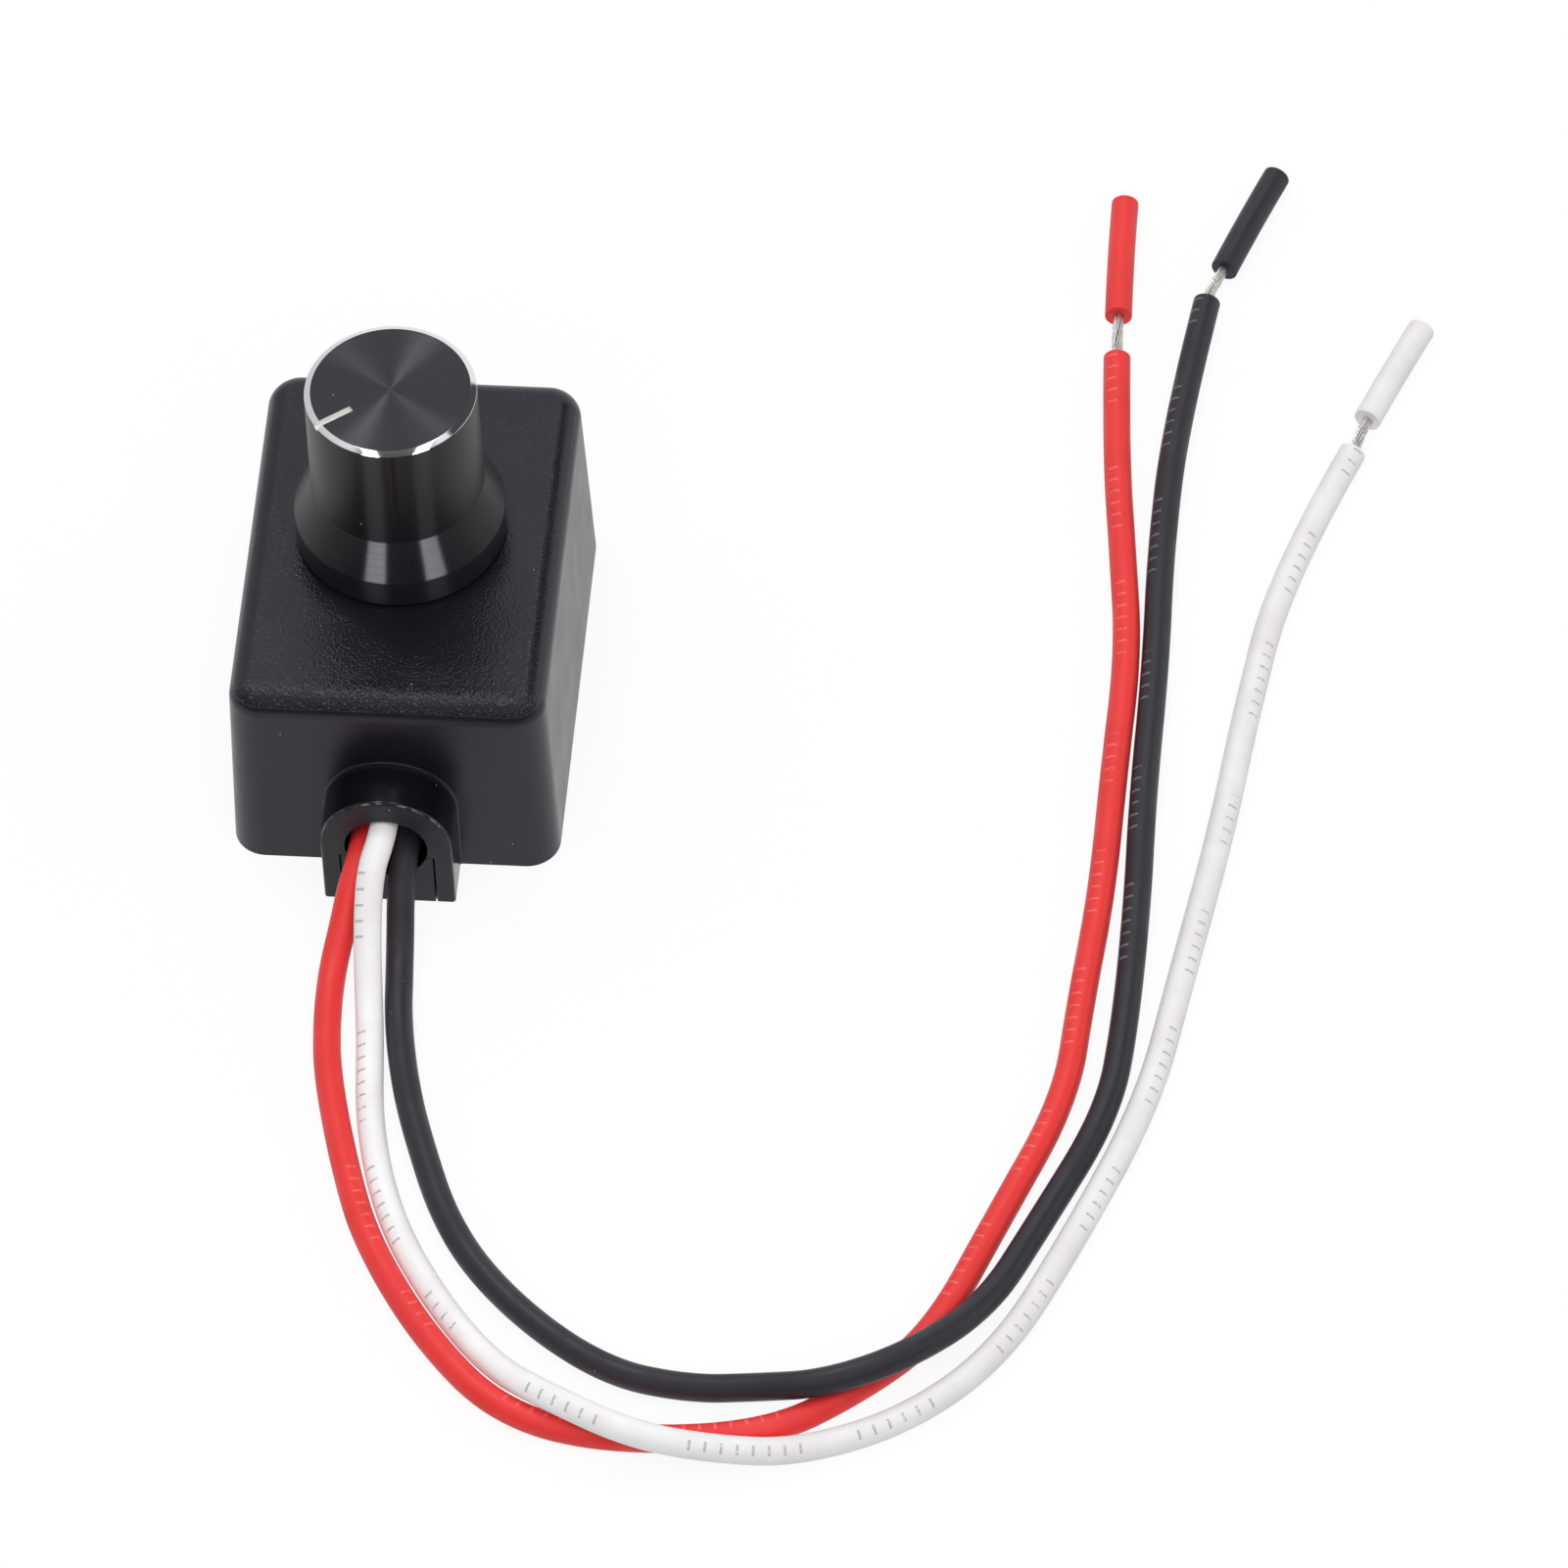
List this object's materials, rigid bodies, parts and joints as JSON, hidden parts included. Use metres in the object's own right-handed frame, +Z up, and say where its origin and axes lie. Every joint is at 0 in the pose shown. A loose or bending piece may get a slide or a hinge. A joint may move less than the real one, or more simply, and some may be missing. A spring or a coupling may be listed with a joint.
{
  "type": "rotary led dimmer",
  "caption": "Rotary dimmer for LED lighting: drafted black case with a turned knob on a rotary control, an arched cable outlet and insulated leads with partly stripped ends.",
  "frame": {"origin": "centre of the case's foot, on the surface it lies on", "axes": "+Z up along the knob, +Y from the cable outlet to the back of the case, +X to the right seen from the outlet"},
  "size_m": [0.0936, 0.1371, 0.0356],
  "materials": {
    "case_plastic": "black moulded plastic with a fine spark texture",
    "anodised_aluminium": "satin black anodised, turned",
    "insert_plastic": "moulded insert",
    "steel": "plated steel",
    "control_plastic": "moulded, matt",
    "spring_brass": "spring contact metal",
    "cast_metal": null,
    "wafer_laminate": "brown laminate",
    "board_laminate": "green solder mask",
    "chip_plastic": "black moulding compound",
    "can_aluminium": "drawn can",
    "ceramic_tan": null,
    "tinned_metal": "tinned copper and solder",
    "red_insulation": "satin red insulation",
    "white_insulation": "satin white insulation",
    "black_insulation": "satin black insulation"
  },
  "bodies": {
    "housing": {"case_shell": "case_plastic", "base_cover": "case_plastic", "pot_housing": "control_plastic", "pot_bushing": "cast_metal", "pot_wafer": "wafer_laminate", "pot_terminals": "spring_brass", "pot_washer": "steel", "pot_nut": "steel", "circuit_board": "board_laminate", "power_transistor": "chip_plastic", "timer_chip": "chip_plastic", "voltage_regulator": "chip_plastic", "electrolytic_capacitor": "can_aluminium", "clamp_diode": "chip_plastic", "chip_resistors": "chip_plastic", "chip_capacitors": "ceramic_tan", "solder_joints": "tinned_metal", "red_wire": "red_insulation", "white_wire": "white_insulation", "black_wire": "black_insulation", "red_strand": "tinned_metal", "white_strand": "tinned_metal", "black_strand": "tinned_metal", "red_sleeve": "red_insulation", "white_sleeve": "white_insulation", "black_sleeve": "black_insulation"},
    "knob": {"knob_shell": "anodised_aluminium", "knob_core": "insert_plastic", "pot_shaft": "steel", "pot_rotor": "control_plastic", "pot_wiper": "spring_brass"}
  },
  "joints": [
    {"name": "knob_turn", "type": "hinge", "parent": "housing", "child": "knob", "pos_m": [-0.0004, 0.0012, 0.0189], "axis": [0, 0, -1], "range_deg": [-24, 276]}
  ]
}
